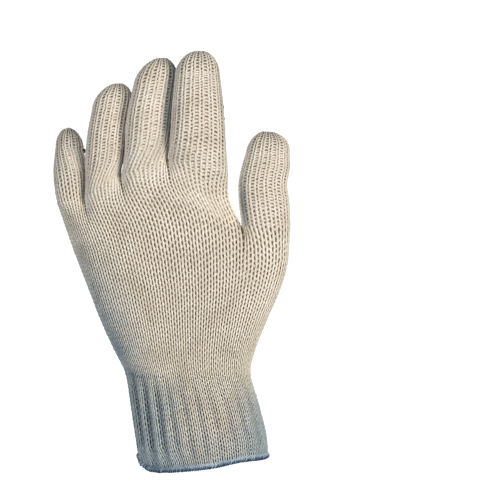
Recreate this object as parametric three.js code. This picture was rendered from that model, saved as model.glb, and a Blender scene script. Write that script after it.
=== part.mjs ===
// A seamless string-knit work glove for the left hand, with grip dots of black PVC on its palm side.
// It keeps the form that it has on a hand: a hollow knitted wall, open at the wrist, closed at five tips.
//
// Millimetres. +Z runs from the wrist opening to the fingertips. The back of the hand faces -Y, the palm
// +Y, and the thumb is on the +X side. The origin is the middle of the wrist opening.
//
// Every knitted surface is a function of two things that a knitter counts: the course, which is the number
// of the knitted row above the hem, and the wale, which is the number of the stitch column from the little
// finger's side, the same for the back and for the palm.
import * as THREE from "three";
import { mergeVertices } from "three/addons/utils/BufferGeometryUtils.js";

// Driving dimensions
const KNIT_WALL = 2.2;
const SEAM_GAP = 0.3;
const DOT_HEIGHT = 0.9;
const HEM_THICKNESS = 3.4;
const HEM_HEIGHT = 3.6;
const RIB_DEPTH = 1.9;
const RIB_WALES = 3;
const RIB_FADE_COURSES = 3;
const RIB_SLACK = 0.55; // how much shallower the ribs are on the thumb's side
const SLACK_FROM_WALE = 9;
const SLACK_WALES = 15;
const SIDEWAYS_PULL = 0.35; // the share of a furrow's inward pull that is kept from side to side
const TIP_POINT = 1.3; // how pointed the fingers' tips are: 1 makes an ellipse

// Wales of each finger on one side of the glove, counted from the little finger's side
const FINGER_WALES = { little: 6, ring: 7, middle: 7, index: 8, thumb: 8 };
const FOUR_FINGER_WALES = 28;
const HAND_WALES = 36;

// The first wale of each finger's print, which leaves out what the finger's neighbour covers
const FIRST_PRINT_WALE = { little: 2, ring: 2, middle: 3, index: 3, thumb: 2 };

// Courses at which the knitting changes
const WRIST_COURSE = 19;
const PRINT_COURSE = 29;
const THUMB_COURSE = 48;
const FINGER_COURSE = 58;
const THUMB_BLEND_COURSES = 7;
const FINGER_BLEND_COURSES = 8;
const FLATTENS_FROM_COURSE = 8;
const FLATTENING_COURSES = 22;

// Where the print on the hand starts and ends: between these wales, and up to the thumb's or past it
const FIRST_PRINT_COLUMN = 3;
const LAST_PRINT_COLUMN = 33;
const LAST_COLUMN_BY_THUMB = 25;

const BACK = -1;
const PALM = 1;

const table = (columns, rows) =>
  rows.map((row) => Object.fromEntries(columns.map((name, i) => [name, row[i]])));

// The whole tube from the hem to the thumb's root: its two side edges and its depth to back and palm
const SLEEVE = table(
  ["at", "leftX", "leftY", "leftZ", "rightX", "rightY", "rightZ", "backDepth", "palmDepth"],
  [
    [0, -38.6, 0, 8.4, 37.4, 0, 8.6, 26, 26],
    [5, -40.2, 0, 18.6, 36.2, 0, 19.8, 25, 25],
    [12, -43.0, 0, 36.8, 31.7, 0, 37.6, 23, 23],
    [19, -46.0, 0, 55.1, 27.2, 0, 54.5, 21, 21],
    [23, -51.8, 0.5, 66.7, 29.5, 1.5, 66.1, 19.5, 21],
    [29, -59.7, 1, 83.5, 36.3, 4, 83.5, 19, 21.5],
    [36, -66.9, 1.5, 101.5, 44.2, 7, 101.5, 18.5, 21.5],
    [42, -73.0, 2, 116.6, 49.0, 9, 118.3, 18, 20.5],
    [48, -77.6, 2, 128.2, 50.2, 11, 139.2, 17.5, 19.5],
  ],
);

// The four-finger tube. Its right edge runs on down through the palm as the line where the thumb joins
const FOUR_FINGERS = table(
  ["at", "leftX", "leftY", "leftZ", "rightX", "rightY", "rightZ", "backDepth", "palmDepth"],
  [
    [19, -46.0, 0, 55.1, 11.6, 1, 54.5, 21, 21],
    [29, -59.7, 1, 83.5, 15.1, 2, 83.5, 18, 20],
    [36, -66.9, 1.5, 101.5, 18.6, 3.5, 101.5, 17.5, 19.5],
    [42, -73.0, 2, 116.6, 21.5, 5, 118.3, 17, 18.5],
    [48, -77.6, 2, 128.2, 22.0, 6, 139.2, 17, 17],
    [53, -82.0, 2.5, 140.9, 15.6, 2.5, 154.9, 15.5, 15],
    [58, -85.0, 3, 151.4, 14.2, 0, 170.5, 14.5, 13.5],
  ],
);

// Where the four fingers part, from the little finger's outer side to the index finger's
const FINGER_ROW = table(
  ["at", "x", "y", "z"],
  [
    [0, -85.0, 3, 151.4],
    [6, -69.3, 1.5, 155.4],
    [13, -48.1, 0, 168.2],
    [20, -20.9, -1, 176.9],
    [28, 14.2, 0, 170.5],
  ],
);

// Each finger's side edges and half depth from its root (0) to where its round tip begins (1)
const FINGER_COLUMNS = ["at", "leftX", "leftY", "leftZ", "rightX", "rightY", "rightZ", "depth"];
const FINGERS = {
  little: {
    firstWale: 0,
    edges: table(FINGER_COLUMNS, [
      [0, -85.0, 3, 151.4, -69.3, 1.5, 155.4, 9.5],
      [0.35, -87.1, 7.6, 166, -69.6, 1.8, 167.5, 8.9],
      [0.7, -86.2, 12.8, 176, -71.2, 2.2, 177, 8.7],
      [1, -84.5, 16.6, 184.5, -73.6, 4.2, 185, 8.1],
    ]),
    tip: { rise: 13.6, away: 7, sideways: -0.8, width: 0.12 },
  },
  ring: {
    firstWale: 6,
    edges: table(FINGER_COLUMNS, [
      [0, -69.3, 1.5, 155.4, -48.1, 0, 168.2, 11.5],
      [0.3, -68.1, -2.5, 174.6, -47.5, 7, 178.6, 9.9],
      [0.65, -66.8, -2, 192, -46.0, 9.5, 193.7, 9.2],
      [1, -64.2, 2, 209.4, -43.6, 14, 210.5, 8.8],
    ]),
    tip: { rise: 14.2, away: 7, sideways: 0.6, width: 0.14 },
  },
  middle: {
    firstWale: 13,
    edges: table(FINGER_COLUMNS, [
      [0, -48.1, 0, 168.2, -20.9, -1, 176.9, 12.5],
      [0.28, -45.3, -4, 183.3, -20.4, 5.5, 187.9, 10.7],
      [0.64, -43.8, -4.5, 202.0, -18.9, 9, 205.3, 10],
      [1, -40.0, 0, 222.0, -17.4, 13.5, 223.5, 9.6],
    ]),
    tip: { rise: 16.4, away: 8, sideways: 0.8, width: 0.12 },
  },
  index: {
    firstWale: 20,
    edges: table(FINGER_COLUMNS, [
      [0, -20.9, -1, 176.9, 14.2, 0, 170.5, 13],
      [0.3, -19.3, -5, 192.0, 12.5, 1.5, 189.1, 12],
      [0.65, -18.1, -4.5, 209.4, 10.9, 3, 209.4, 11.3],
      [1, -16.7, 0, 226.5, 8.7, 7.5, 226.5, 10.8],
    ]),
    tip: { rise: 15.9, away: 8, sideways: 1.8, width: 0.16 },
  },
  thumb: {
    firstWale: 28,
    edges: table(FINGER_COLUMNS, [
      [0, 22.0, 6, 139.2, 50.2, 11, 139.2, 13],
      [0.28, 20.2, 7.5, 152.5, 49.9, 11.5, 152.5, 12.4],
      [0.54, 19.9, 8, 164.5, 48.5, 12, 163.6, 12],
      [0.77, 21.7, 9, 174.0, 50.2, 13, 173.4, 11.6],
      [1, 24.4, 10.5, 183.2, 50.0, 13.5, 182.1, 11.2],
    ]),
    tip: { rise: 12.8, away: 5, sideways: -2.2, width: 0.2 },
  },
};

// How far below its two sides the back of the hem hangs, most near the little finger's side
const HEM_LINE = table(
  ["at", "drop"],
  [
    [0, 0],
    [5, 4.9],
    [8, 5.6],
    [13, 4.6],
    [20, 2.6],
    [27, -0.4],
    [36, 0],
  ],
);
const HEM_LIFT_AT_PALM = 1.5;

const smooth = (x) => {
  const t = Math.min(1, Math.max(0, x));
  return t * t * (3 - 2 * t);
};

// A smooth curve through the rows of a table: a cubic in each gap, with slopes from the rows on each side
function read(rows, at) {
  let i = 0;
  while (i < rows.length - 2 && at > rows[i + 1].at) i += 1;
  const [a, b] = [rows[i], rows[i + 1]];
  const span = b.at - a.at;
  const t = (at - a.at) / span;
  const slope = (k, name) => {
    const [from, to] = [rows[Math.max(0, k - 1)], rows[Math.min(rows.length - 1, k + 1)]];
    return ((to[name] - from[name]) / (to.at - from.at)) * span;
  };
  const value = (name) =>
    a[name] * (1 + t * t * (2 * t - 3)) +
    slope(i, name) * t * (1 - t) * (1 - t) +
    b[name] * t * t * (3 - 2 * t) +
    slope(i + 1, name) * t * t * (t - 1);
  return Object.fromEntries(Object.keys(a).map((name) => [name, value(name)]));
}

// Half of a flat oval, |x|^power + |y|^power = 1, walked at an even pace from x = -1 to x = 1
function evenOval(aspect, power) {
  const STEPS = 720;
  const points = [{ x: -1, y: 0, length: 0 }];
  for (let i = 1; i <= STEPS; i += 1) {
    const angle = (Math.PI * i) / STEPS;
    const x = -Math.sign(Math.cos(angle)) * Math.abs(Math.cos(angle)) ** (2 / power);
    const y = Math.sin(angle) ** (2 / power);
    const last = points[i - 1];
    points.push({ x, y, length: last.length + Math.hypot(x - last.x, aspect * (y - last.y)) });
  }
  const total = points[STEPS].length;
  return (share) => {
    const walked = Math.min(1, Math.max(0, share)) * total;
    let i = 1;
    while (i < STEPS && points[i].length < walked) i += 1;
    const [a, b] = [points[i - 1], points[i]];
    const t = (walked - a.length) / (b.length - a.length);
    return { across: a.x + t * (b.x - a.x), rise: Math.max(0, a.y + t * (b.y - a.y)) };
  };
}

const cuffOval = evenOval(0.62, 2.0);
const palmOval = evenOval(0.34, 2.4);
const fingerOval = evenOval(0.85, 2.35);

// The whole tube's section: round at the cuff, and flatter from the wrist on
function sleeveOval(wale, course) {
  const [round, flat] = [cuffOval(wale / HAND_WALES), palmOval(wale / HAND_WALES)];
  const how = smooth((course - FLATTENS_FROM_COURSE) / FLATTENING_COURSES);
  return {
    across: round.across + how * (flat.across - round.across),
    rise: round.rise + how * (flat.rise - round.rise),
  };
}

const leftOf = (row) => new THREE.Vector3(row.leftX, row.leftY, row.leftZ);
const rightOf = (row) => new THREE.Vector3(row.rightX, row.rightY, row.rightZ);

// The way out of the back of the hand, square to the ring's width and to the finger's run
function outOfBack(left, right, run) {
  const width = right.clone().sub(left).normalize();
  const out = new THREE.Vector3(0, -1, 0);
  out.addScaledVector(width, -out.dot(width));
  if (run) {
    const along = run.clone().addScaledVector(width, -run.dot(width)).normalize();
    out.addScaledVector(along, -out.dot(along));
  }
  return out.normalize();
}

// A point of a ring that is stretched between two edge points
function ringPoint(left, right, out, depth, { across, rise }) {
  const point = left.clone().lerp(right, (across + 1) / 2);
  return point.addScaledVector(out, depth * rise);
}

const depthOf = (row, side) => (side === BACK ? row.backDepth : -row.palmDepth);

// How far a wale strays from the straight line between the two edges, as the fingers' row does:
// along that line as a share of it, and upwards
function fingerRowAt(wale) {
  const spot = read(FINGER_ROW, wale);
  const [first, last] = [FINGER_ROW[0], FINGER_ROW[FINGER_ROW.length - 1]];
  const chord = new THREE.Vector3(last.x - first.x, 0, last.z - first.z);
  const offset = new THREE.Vector3(spot.x - first.x, 0, spot.z - first.z);
  const share = offset.dot(chord) / chord.lengthSq();
  const up = new THREE.Vector3(-chord.z, 0, chord.x).normalize();
  return { share, up: offset.dot(up), away: spot.y - first.y - share * (last.y - first.y) };
}

// Where the thumb's first wale lies on the whole tube's oval
const THUMB_SIDE = palmOval(FOUR_FINGER_WALES / HAND_WALES);

// The middle line of the four-finger tube: even at the wrist, and as the fingers part at their row
function fourFingerMiddle(wale, course) {
  const row = read(FOUR_FINGERS, course);
  const [left, right] = [leftOf(row), rightOf(row)];
  const even = (palmOval(wale / HAND_WALES).across + 1) / (THUMB_SIDE.across + 1);
  const parted = fingerRowAt(wale);
  const how = smooth((course - WRIST_COURSE) / (FINGER_COURSE - WRIST_COURSE));
  const point = left.clone().lerp(right, even + how * (parted.share - even));
  const up = new THREE.Vector3(left.z - right.z, 0, right.x - left.x).normalize();
  point.addScaledVector(up, how * parted.up);
  point.y += how * parted.away;
  return point;
}

// How open a cleft is, from 0 where two tubes meet to 1 where they are one. It opens fastest at the start
const opened = (share) => {
  const t = Math.min(1, Math.max(0, share));
  return 1 - (1 - t) * (1 - t);
};

function fingerOfWale(wale) {
  return Object.keys(FINGERS).find(
    (name) => wale <= FINGERS[name].firstWale + FINGER_WALES[name] || name === "thumb",
  );
}

// A point of the four-finger tube: four round tubes side by side at the fingers' row, one flat oval below
function fourFingerPoint(wale, side, course) {
  const row = read(FOUR_FINGERS, course);
  const out = outOfBack(leftOf(row), rightOf(row));
  const flat = fourFingerMiddle(wale, course).addScaledVector(
    out,
    depthOf(row, side) * palmOval(wale / FOUR_FINGER_WALES).rise,
  );
  const merged = opened((FINGER_COURSE - course) / FINGER_BLEND_COURSES);
  if (merged >= 1) return flat;
  const name = fingerOfWale(Math.min(wale, FOUR_FINGER_WALES));
  const { firstWale, edges } = FINGERS[name];
  const left = fourFingerMiddle(firstWale, course);
  const right = fourFingerMiddle(firstWale + FINGER_WALES[name], course);
  const place = fingerOval((wale - firstWale) / FINGER_WALES[name]);
  const round = ringPoint(left, right, outOfBack(left, right), -side * edges[0].depth, place);
  return round.lerp(flat, merged);
}

// A point of the hand's tube below the thumb's root: the four-finger tube and the thumb, drawn together
function handPoint(wale, side, course) {
  const row = read(SLEEVE, course);
  const [left, right] = [leftOf(row), rightOf(row)];
  const oval = sleeveOval(wale, course);
  const plain = ringPoint(left, right, outOfBack(left, right), depthOf(row, side), oval);
  if (course <= WRIST_COURSE) return plain;
  const inner = rightOf(read(FOUR_FINGERS, course));
  const thumbShare = (wale - FOUR_FINGER_WALES) / FINGER_WALES.thumb;
  let apart;
  let middle;
  if (wale <= FOUR_FINGER_WALES) {
    apart = fourFingerPoint(wale, side, course);
    middle = fourFingerMiddle(wale, course);
  } else {
    const depth = -side * FINGERS.thumb.edges[0].depth;
    apart = ringPoint(inner, right, outOfBack(inner, right), depth, fingerOval(thumbShare));
    const share = (palmOval(wale / HAND_WALES).across - THUMB_SIDE.across) / (1 - THUMB_SIDE.across);
    middle = inner.clone().lerp(right, share);
  }
  const pull = smooth((course - WRIST_COURSE) / (THUMB_COURSE - WRIST_COURSE));
  const across = left.clone().lerp(right, (oval.across + 1) / 2).lerp(middle, pull);
  const whole = across.addScaledVector(outOfBack(left, right), depthOf(row, side) * oval.rise);
  return apart.lerp(whole, opened((THUMB_COURSE - course) / THUMB_BLEND_COURSES));
}

// How far the hem's drop moves a point of the cuff down
function hemDrop(wale, side, course) {
  const share = wale / HAND_WALES;
  const fade = (1 - smooth(course / WRIST_COURSE)) ** 2;
  if (side === BACK) return -fade * read(HEM_LINE, wale).drop;
  return fade * HEM_LIFT_AT_PALM * Math.sin(Math.PI * share);
}

// Ribs of three wales with furrows between them, which fade out at the wrist and are slacker by the thumb
function ribFurrow(wale, course) {
  const tightness = 1 - RIB_SLACK * smooth((wale - SLACK_FROM_WALE) / SLACK_WALES);
  const wave = Math.cos((2 * Math.PI * (wale - RIB_WALES / 2)) / RIB_WALES);
  const strength = 1 - smooth((course - WRIST_COURSE + RIB_FADE_COURSES) / RIB_FADE_COURSES);
  return RIB_DEPTH * tightness * strength * (0.5 + 0.5 * wave);
}

function sleevePoint(wale, side, course) {
  const point = handPoint(wale, side, course);
  if (course < WRIST_COURSE) point.z += hemDrop(wale, side, course);
  return point;
}

// The share of a finger's length over which its rings turn until they are square to it
const SQUARING_SHARE = 0.3;
const SLOPE_STEP = 0.02;

// A point of a finger, from its root (0) over the start of its round tip (1) to its end (2)
function fingerPoint(finger, share, side, at) {
  const along = Math.min(1, at);
  const row = read(finger.edges, along);
  const nearby = [Math.max(0, along - SLOPE_STEP), Math.min(1, along + SLOPE_STEP)];
  const [before, after] = nearby.map((t) => {
    const spot = read(finger.edges, t);
    return leftOf(spot).add(rightOf(spot)).multiplyScalar(0.5);
  });
  const run = after.sub(before).normalize();
  const [left, right] = [leftOf(row), rightOf(row)];
  const squared = smooth(along / SQUARING_SHARE);
  const out = outOfBack(left, right).lerp(outOfBack(left, right, run), squared).normalize();
  const place = fingerOval(share);
  if (at <= 1) return ringPoint(left, right, out, -side * row.depth, place);
  const angle = ((at - 1) * Math.PI) / 2;
  const { rise, away, sideways, width } = finger.tip;
  const narrow = width + (1 - width) * Math.cos(angle) ** TIP_POINT;
  const turn = 1 - Math.cos(angle);
  const centre = left.clone().add(right).multiplyScalar(0.5);
  const half = right.clone().sub(left).multiplyScalar(0.5 * narrow);
  centre.addScaledVector(run, rise * Math.sin(angle));
  centre.x += sideways * turn;
  centre.y += away * turn * 0.5;
  const depth = -side * row.depth * Math.cos(angle);
  return ringPoint(centre.clone().sub(half), centre.clone().add(half), out, depth, place);
}

// A surface from a grid of points. Rows run up the glove and columns from left to right over the back,
// so palm patches are turned over to face out
function patch(rowValues, columnValues, side, pointAt) {
  const triangles = [];
  const grid = rowValues.map((row) => columnValues.map((column) => pointAt(column, side, row)));
  for (let i = 0; i < rowValues.length - 1; i += 1) {
    for (let k = 0; k < columnValues.length - 1; k += 1) {
      const [a, b, c, d] = [grid[i][k], grid[i][k + 1], grid[i + 1][k + 1], grid[i + 1][k]];
      if (side === BACK) triangles.push(a, b, c, a, c, d);
      else triangles.push(b, a, c, c, a, d);
    }
  }
  return triangles;
}

const bothSides = (rows, columns, pointAt) => [
  ...patch(rows, columns, BACK, pointAt),
  ...patch(rows, columns, PALM, pointAt),
];

const steps = (from, to, count) =>
  Array.from({ length: count + 1 }, (_, i) => from + ((to - from) * i) / count);

const WELD = 1e-3;

// One surface with shared corners, without the triangles that a closed tip flattens
function sewn(triangles) {
  const loose = new THREE.BufferGeometry().setFromPoints(triangles);
  const merged = mergeVertices(loose, WELD);
  const kept = [];
  for (let i = 0; i < merged.index.count; i += 3) {
    const [a, b, c] = [0, 1, 2].map((k) => merged.index.getX(i + k));
    if (a !== b && b !== c && c !== a) kept.push(a, b, c);
  }
  merged.setIndex(kept);
  merged.computeVertexNormals();
  return merged;
}

// A closed wall between two depths of an open surface, measured outwards from it, with its edges joined
function wall(surface, inner, outer) {
  const { position, normal } = surface.attributes;
  const count = position.count;
  const points = [];
  for (const depth of [outer, inner]) {
    for (let i = 0; i < count; i += 1) {
      const out = new THREE.Vector3().fromBufferAttribute(normal, i);
      points.push(new THREE.Vector3().fromBufferAttribute(position, i).addScaledVector(out, depth));
    }
  }
  const faces = [];
  const edges = new Map();
  for (let i = 0; i < surface.index.count; i += 3) {
    const corner = [0, 1, 2].map((k) => surface.index.getX(i + k));
    faces.push(...corner, corner[0] + count, corner[2] + count, corner[1] + count);
    corner.forEach((a, k) => {
      const b = corner[(k + 1) % 3];
      const twin = `${b} ${a}`;
      if (edges.has(twin)) edges.delete(twin);
      else edges.set(`${a} ${b}`, [a, b]);
    });
  }
  for (const [a, b] of edges.values()) faces.push(b, a, a + count, b, a + count, b + count);
  const closed = new THREE.BufferGeometry().setFromPoints(points);
  closed.setIndex(faces);
  closed.computeVertexNormals();
  return closed;
}

const knitCotton = new THREE.MeshStandardMaterial({ color: 0xe4d9c4, roughness: 0.95, metalness: 0 });
const elasticKnit = new THREE.MeshStandardMaterial({ color: 0xd9d2c2, roughness: 0.95, metalness: 0 });
const hemThread = new THREE.MeshStandardMaterial({ color: 0xc9d2da, roughness: 0.9, metalness: 0 });
const blackPvc = new THREE.MeshStandardMaterial({ color: 0x0d0d0d, roughness: 0.4, metalness: 0 });

const glove = new THREE.Group();

function add(name, geometry, material) {
  const mesh = new THREE.Mesh(geometry, material);
  mesh.name = name;
  glove.add(mesh);
}

// Lower and upper hand: the tube above the wrist, which parts into the thumb's stub and the four-finger
// tube, and that tube, which parts into the four fingers' stubs. They are knitted one after the other
const STUB_AT = 0.07;
const SPLIT_COURSES = 0.2;
const lowerCourses = [19, 22, 25.5, 29, 32.5, 36, 39.5, 42.5, 45, 47, THUMB_COURSE];
const upperCourses = [THUMB_COURSE + SPLIT_COURSES, 50, 52, 54, 56, 57.2, FINGER_COURSE];
const fingerShares = (name) => steps(0, 1, FINGER_WALES[name]);
const stub = (name) =>
  bothSides([0, STUB_AT], fingerShares(name), (share, side, at) =>
    fingerPoint(FINGERS[name], share, side, at),
  );
const lowerSurface = sewn([
  ...bothSides(lowerCourses, steps(0, HAND_WALES, HAND_WALES), sleevePoint),
  ...stub("thumb"),
]);
const upperSurface = sewn([
  ...bothSides(upperCourses, steps(0, FOUR_FINGER_WALES, FOUR_FINGER_WALES), fourFingerPoint),
  ...["little", "ring", "middle", "index"].flatMap(stub),
]);
add("lower_hand", wall(lowerSurface, -KNIT_WALL, 0), knitCotton);
add("upper_hand", wall(upperSurface, -KNIT_WALL, 0), knitCotton);

// Fingers and thumb: round tubes that begin just above their stubs and end in round closed tips
const TIP_ROWS = [1.25, 1.5, 1.72, 1.9, 2];
const tubes = {};
for (const [name, finger] of Object.entries(FINGERS)) {
  const [root, end] = [finger.edges[0], finger.edges[finger.edges.length - 1]];
  const length = leftOf(root).distanceTo(leftOf(end));
  const rows = [...steps(STUB_AT + SEAM_GAP / length, 1, 5), ...TIP_ROWS];
  const pointAt = (share, side, at) => fingerPoint(finger, share, side, at);
  const surface = sewn(bothSides(rows, fingerShares(name), pointAt));
  tubes[name] = { rows, surface, pointAt };
  add(name === "thumb" ? "thumb" : `${name}_finger`, wall(surface, -KNIT_WALL, 0), knitCotton);
}

// Ribbed cuff: every third wale of the tube lies deeper, and the columns follow the furrows
const CUFF_GAP_COURSES = 0.28;
const CUFF_ROWS = [0, 4, 9, 14, 16.5, WRIST_COURSE - CUFF_GAP_COURSES];
const cuffPoint = (wale, side, course) => {
  const point = sleevePoint(wale, side, course);
  const middle = HAND_WALES / 2;
  const axis = sleevePoint(middle, BACK, course).lerp(sleevePoint(middle, PALM, course), 0.5);
  const inwards = new THREE.Vector3(axis.x - point.x, axis.y - point.y, 0);
  inwards.x *= SIDEWAYS_PULL;
  return point.addScaledVector(inwards.normalize(), ribFurrow(wale, course));
};
const cuffSurface = sewn(bothSides(CUFF_ROWS, steps(0, HAND_WALES, HAND_WALES), cuffPoint));
add("ribbed_cuff", wall(cuffSurface, -KNIT_WALL, 0), elasticKnit);

// Cuff hem: an overlocked edge, a round cord of thread that runs round the opening below the cuff's wall
function hemGeometry() {
  const SIDES = 6;
  const columns = [
    ...steps(0, HAND_WALES, HAND_WALES).map((wale) => [wale, BACK]),
    ...steps(0, HAND_WALES, HAND_WALES).slice(1, -1).reverse().map((wale) => [wale, PALM]),
  ];
  const ring = columns.map(([wale, side]) => sleevePoint(wale, side, 0));
  const count = ring.length;
  const points = [];
  ring.forEach((point, i) => {
    const run = ring[(i + 1) % count].clone().sub(ring[(i + count - 1) % count]).setZ(0).normalize();
    const outwards = new THREE.Vector3(run.y, -run.x, 0);
    const centre = point.clone().addScaledVector(outwards, -KNIT_WALL / 2);
    centre.z -= HEM_HEIGHT / 2 + SEAM_GAP;
    for (let k = 0; k < SIDES; k += 1) {
      const angle = (2 * Math.PI * k) / SIDES;
      const spot = centre.clone().addScaledVector(outwards, (HEM_THICKNESS / 2) * Math.cos(angle));
      spot.z += (HEM_HEIGHT / 2) * Math.sin(angle);
      points.push(spot);
    }
  });
  const faces = [];
  for (let i = 0; i < count; i += 1) {
    const next = (i + 1) % count;
    for (let k = 0; k < SIDES; k += 1) {
      const turn = (k + 1) % SIDES;
      const [a, b, c, d] = [i * SIDES + k, next * SIDES + k, next * SIDES + turn, i * SIDES + turn];
      faces.push(a, b, c, a, c, d);
    }
  }
  const geometry = new THREE.BufferGeometry().setFromPoints(points);
  geometry.setIndex(faces);
  geometry.computeVertexNormals();
  return geometry;
}
add("cuff_hem", hemGeometry(), hemThread);

// Fields of dots: on each palm side the print is one thin layer just off the knit, a dot's height thick.
// It is cut from the knit's own grid and stands off along the knit's own normals, so the two never touch
function printField(name, triangles, surface) {
  const keyOf = (point) => point.toArray().map((v) => Math.round(v * 100)).join(" ");
  const spot = new THREE.Vector3();
  const normals = new Map();
  for (let i = 0; i < surface.attributes.position.count; i += 1) {
    const out = new THREE.Vector3().fromBufferAttribute(surface.attributes.normal, i);
    normals.set(keyOf(spot.fromBufferAttribute(surface.attributes.position, i)), out);
  }
  const field = sewn(triangles);
  for (let i = 0; i < field.attributes.position.count; i += 1) {
    const out = normals.get(keyOf(spot.fromBufferAttribute(field.attributes.position, i)));
    field.attributes.normal.setXYZ(i, out.x, out.y, out.z);
  }
  add(name, wall(field, SEAM_GAP, SEAM_GAP + DOT_HEIGHT), blackPvc);
}

const printCourses = lowerCourses.filter((course) => course >= PRINT_COURSE);
const printWales = (last) => steps(FIRST_PRINT_COLUMN, last, last - FIRST_PRINT_COLUMN);
printField(
  "lower_palm_dots",
  [
    ...patch(printCourses.slice(0, -2), printWales(LAST_PRINT_COLUMN), PALM, sleevePoint),
    ...patch(printCourses.slice(-3), printWales(LAST_COLUMN_BY_THUMB), PALM, sleevePoint),
  ],
  lowerSurface,
);
printField(
  "upper_palm_dots",
  patch(upperCourses.slice(0, -2), printWales(LAST_COLUMN_BY_THUMB), PALM, fourFingerPoint),
  upperSurface,
);
for (const [name, { rows, surface, pointAt }] of Object.entries(tubes)) {
  const shares = fingerShares(name).slice(FIRST_PRINT_WALE[name], -1);
  printField(`${name}_dots`, patch(rows.slice(0, -2), shares, PALM, pointAt), surface);
}

export default glove;
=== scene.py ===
import math

import bpy
import numpy as np
from mathutils.kdtree import KDTree
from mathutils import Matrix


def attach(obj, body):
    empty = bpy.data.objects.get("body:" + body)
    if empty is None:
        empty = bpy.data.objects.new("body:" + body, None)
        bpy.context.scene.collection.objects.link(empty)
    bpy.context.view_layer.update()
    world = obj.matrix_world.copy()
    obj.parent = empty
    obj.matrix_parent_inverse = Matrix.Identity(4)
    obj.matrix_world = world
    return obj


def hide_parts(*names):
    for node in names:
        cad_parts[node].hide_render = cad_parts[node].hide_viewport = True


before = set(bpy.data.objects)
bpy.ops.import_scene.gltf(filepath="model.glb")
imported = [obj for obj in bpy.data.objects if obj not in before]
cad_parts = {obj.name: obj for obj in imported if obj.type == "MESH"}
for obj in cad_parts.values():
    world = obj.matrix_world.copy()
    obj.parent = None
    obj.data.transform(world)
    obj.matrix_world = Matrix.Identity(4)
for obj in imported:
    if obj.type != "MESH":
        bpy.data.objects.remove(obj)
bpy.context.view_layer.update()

# Hand body: the tube of string knit over the palm and the back of the hand. It is worked in rounds of loops
# from one soft cream yarn on a coarse machine, and parts at its top into four fingers and at its side into
# the thumb. Millimetres; a wale is a column of loops and a course is a round of them.
MM = 0.001
BACK, PALM = -1.0, 1.0
WALES = 36
FOUR_FINGER_WALES = 28
WRIST_COURSE = 19
THUMB_COURSE = 48
FINGER_COURSE = 58
THUMB_BLEND = 7
FINGER_BLEND = 8
FLATTENS_FROM_COURSE = 8
FLATTENING_COURSES = 22


def table(columns, *rows):
    """A table with named columns: each name with the array of its numbers."""
    return dict(zip(columns.split(), np.array(rows, float).T))


EDGES = "at left_x left_y left_z right_x right_y right_z"
SLEEVE = table(
    EDGES + " back_depth palm_depth",
    (0, -38.6, 0, 8.4, 37.4, 0, 8.6, 26, 26),
    (5, -40.2, 0, 18.6, 36.2, 0, 19.8, 25, 25),
    (12, -43.0, 0, 36.8, 31.7, 0, 37.6, 23, 23),
    (19, -46.0, 0, 55.1, 27.2, 0, 54.5, 21, 21),
    (23, -51.8, 0.5, 66.7, 29.5, 1.5, 66.1, 19.5, 21),
    (29, -59.7, 1, 83.5, 36.3, 4, 83.5, 19, 21.5),
    (36, -66.9, 1.5, 101.5, 44.2, 7, 101.5, 18.5, 21.5),
    (42, -73.0, 2, 116.6, 49.0, 9, 118.3, 18, 20.5),
    (48, -77.6, 2, 128.2, 50.2, 11, 139.2, 17.5, 19.5),
)
FOUR_FINGERS = table(
    EDGES + " back_depth palm_depth",
    (19, -46.0, 0, 55.1, 11.6, 1, 54.5, 21, 21),
    (29, -59.7, 1, 83.5, 15.1, 2, 83.5, 18, 20),
    (36, -66.9, 1.5, 101.5, 18.6, 3.5, 101.5, 17.5, 19.5),
    (42, -73.0, 2, 116.6, 21.5, 5, 118.3, 17, 18.5),
    (48, -77.6, 2, 128.2, 22.0, 6, 139.2, 17, 17),
    (53, -82.0, 2.5, 140.9, 15.6, 2.5, 154.9, 15.5, 15),
    (58, -85.0, 3, 151.4, 14.2, 0, 170.5, 14.5, 13.5),
)
FINGER_ROW = table(
    "at x y z",
    (0, -85.0, 3, 151.4),
    (6, -69.3, 1.5, 155.4),
    (13, -48.1, 0, 168.2),
    (20, -20.9, -1, 176.9),
    (28, 14.2, 0, 170.5),
)
FINGER_NAMES = ("little", "ring", "middle", "index", "thumb")
THUMB = FINGER_NAMES.index("thumb")
FINGER_ROOTS = table(
    "first_wale wales depth lean",
    (0, 6, 9.5, -0.10),
    (6, 7, 11.5, 0.05),
    (13, 7, 12.5, 0.12),
    (20, 8, 13, 0.03),
    (28, 8, 13, 0.0),
)


def smooth(x):
    """3t^2 - 2t^3 with t held between 0 and 1."""
    t = np.clip(x, 0, 1)
    return t * t * (3 - 2 * t)


def lerp(a, b, share):
    """The point at that share of the way from a to b."""
    return a + (b - a) * np.asarray(share)[..., None]


def dot(a, b):
    return np.sum(a * b, axis=-1, keepdims=True)


def unit(v):
    return v / np.sqrt(np.maximum(dot(v, v), 1e-18))


def read(rows, names, at):
    """A cubic in each gap between rows, whose end slopes run between the rows on either side."""
    knots = rows["at"]
    values = np.stack([rows[name] for name in names.split()], axis=-1)
    last = len(knots) - 1
    i = np.searchsorted(knots[1:-1], at, side="left")
    span = (knots[i + 1] - knots[i])[..., None]
    t = (np.asarray(at) - knots[i])[..., None] / span

    def slope(k):
        low, high = np.maximum(k - 1, 0), np.minimum(k + 1, last)
        return (values[high] - values[low]) / (knots[high] - knots[low])[..., None] * span

    start = values[i] * (1 + t * t * (2 * t - 3)) + slope(i) * t * (1 - t) ** 2
    return start + values[i + 1] * t * t * (3 - 2 * t) + slope(i + 1) * t * t * (t - 1)


OVAL_STEPS = 721


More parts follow.
